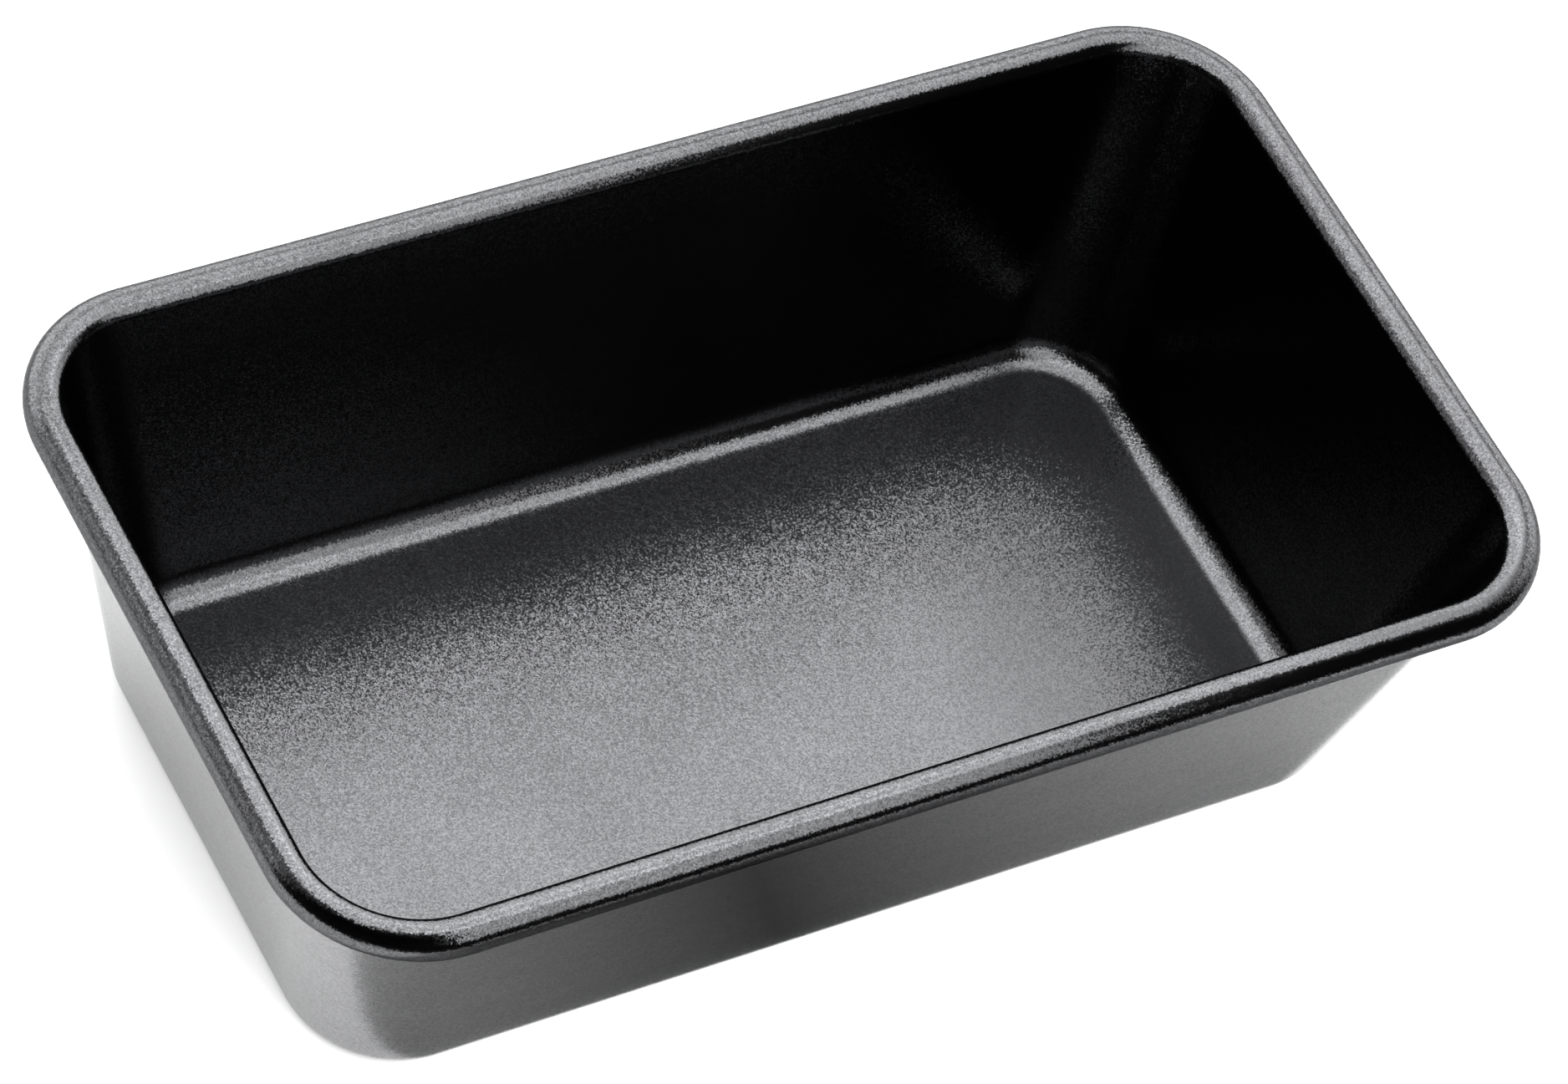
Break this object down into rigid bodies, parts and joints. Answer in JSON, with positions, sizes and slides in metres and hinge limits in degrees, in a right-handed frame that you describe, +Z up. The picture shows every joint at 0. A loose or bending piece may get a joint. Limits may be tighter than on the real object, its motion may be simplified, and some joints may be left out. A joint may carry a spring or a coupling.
{
  "type": "loaf pan",
  "caption": "Rectangular loaf pan with leaning straight walls, rounded corners and a wired rolled rim, non-stick coated inside and out.",
  "frame": {"origin": "centre of the pan's footprint, on the surface it stands on", "axes": "+Z up out of the pan's mouth, X along its length, Y across its width"},
  "size_m": [0.244, 0.144, 0.07],
  "materials": {
    "bare_steel": "cold-rolled carbon steel sheet, bare only at the cut edge under the rim",
    "interior_coating": "charcoal metallic-fleck non-stick, satin, fine coarse-grained texture",
    "exterior_coating": "dark grey metallic non-stick, smooth satin",
    "wire_steel": "drawn low-carbon steel wire, dull"
  },
  "bodies": {
    "root": {"steel_pan_body": "bare_steel", "interior_nonstick_coating": "interior_coating", "exterior_nonstick_coating": "exterior_coating", "rim_wire": "wire_steel"}
  },
  "joints": []
}
